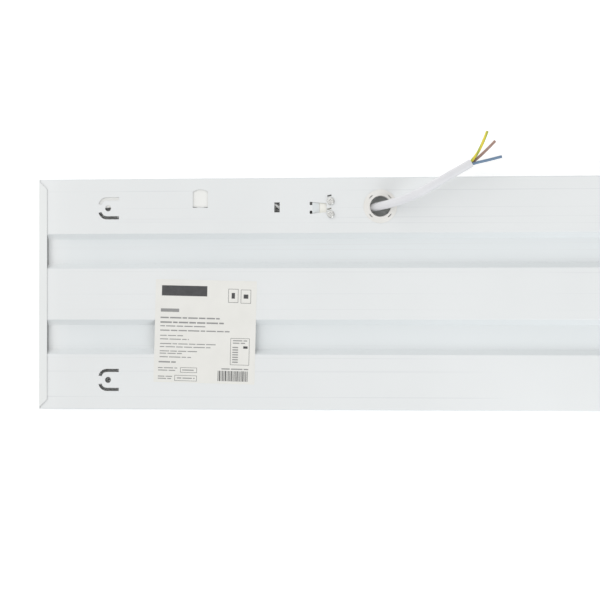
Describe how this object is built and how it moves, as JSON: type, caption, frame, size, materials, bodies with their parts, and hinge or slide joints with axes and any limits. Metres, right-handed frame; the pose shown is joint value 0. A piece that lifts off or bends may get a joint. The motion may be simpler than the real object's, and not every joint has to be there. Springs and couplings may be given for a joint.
{
  "type": "recessed led panel light",
  "caption": "Slim white panel light: a folded metal tray with a ribbed back, opal front, end caps, suspension tabs and a short mains cord that leaves by a snap bushing.",
  "frame": {"origin": "centre of the panel's outline, on the plane of its front rim", "axes": "+X along the panel, away from the end with the driver and label; +Y across it, towards the long edge with the cord; +Z from the front rim to the back"},
  "size_m": [1.195, 0.2131, 0.0376],
  "materials": {
    "powder_coat": "white powder coat, fine texture",
    "opal_diffuser": "opal, satin",
    "label_paper": "matt paper, blank",
    "board_mask": "white mask over metal-core board",
    "led_resin": "phosphor resin in a white cup",
    "connector_white": "moulded",
    "lead_red": "insulation",
    "lead_black": "insulation",
    "lead_white": "insulation",
    "driver_case": "moulded, satin",
    "foam_tape": "double-sided foam",
    "driver_laminate": "circuit laminate",
    "ferrite": "dull",
    "coil_tape": "tape over winding",
    "enamelled_wire": "enamelled winding",
    "capacitor_sleeve": "shrink sleeve",
    "terminal_grey": "moulded",
    "plated_steel": "zinc plated",
    "tinned_copper": "tinned",
    "cord_sheath": "white flexible sheath, satin",
    "core_green_yellow": "yellow insulation with green stripes",
    "core_brown": "insulation",
    "core_blue": "insulation",
    "nylon_natural": "natural nylon",
    "nylon_white": "white nylon, satin"
  },
  "bodies": {
    "root": {"housing": "powder_coat", "end_cap_left": "powder_coat", "end_cap_right": "powder_coat", "diffuser": "opal_diffuser", "rating_label": "label_paper", "board_connectors": "connector_white", "board_link_leads": "lead_white", "driver_tray": "driver_case", "driver_lid": "driver_case", "driver_tape": "foam_tape", "driver_board": "driver_laminate", "driver_input_terminal": "terminal_grey", "driver_output_terminal": "terminal_grey", "driver_transformer_core": "ferrite", "driver_transformer_coil": "coil_tape", "driver_choke": "enamelled_wire", "driver_capacitors": "capacitor_sleeve", "output_lead_positive": "lead_red", "output_lead_negative": "lead_black", "earth_stud": "plated_steel", "earth_lug": "tinned_copper", "earth_nut": "plated_steel", "inner_core_live": "core_brown", "inner_core_neutral": "lead_white", "inner_core_earth": "core_green_yellow", "mains_cord_inner": "cord_sheath", "mains_cord": "cord_sheath", "core_earth": "core_green_yellow", "core_live": "core_brown", "core_neutral": "core_blue", "cord_clamp_base": "nylon_natural", "cord_clamp_bar": "nylon_natural", "clamp_screws": "plated_steel", "cord_bushing": "nylon_white", "led_board_1": "board_mask", "led_packages_1": "led_resin", "led_board_2": "board_mask", "led_packages_2": "led_resin", "led_board_3": "board_mask", "led_packages_3": "led_resin", "led_board_4": "board_mask", "led_packages_4": "led_resin"}
  },
  "joints": []
}
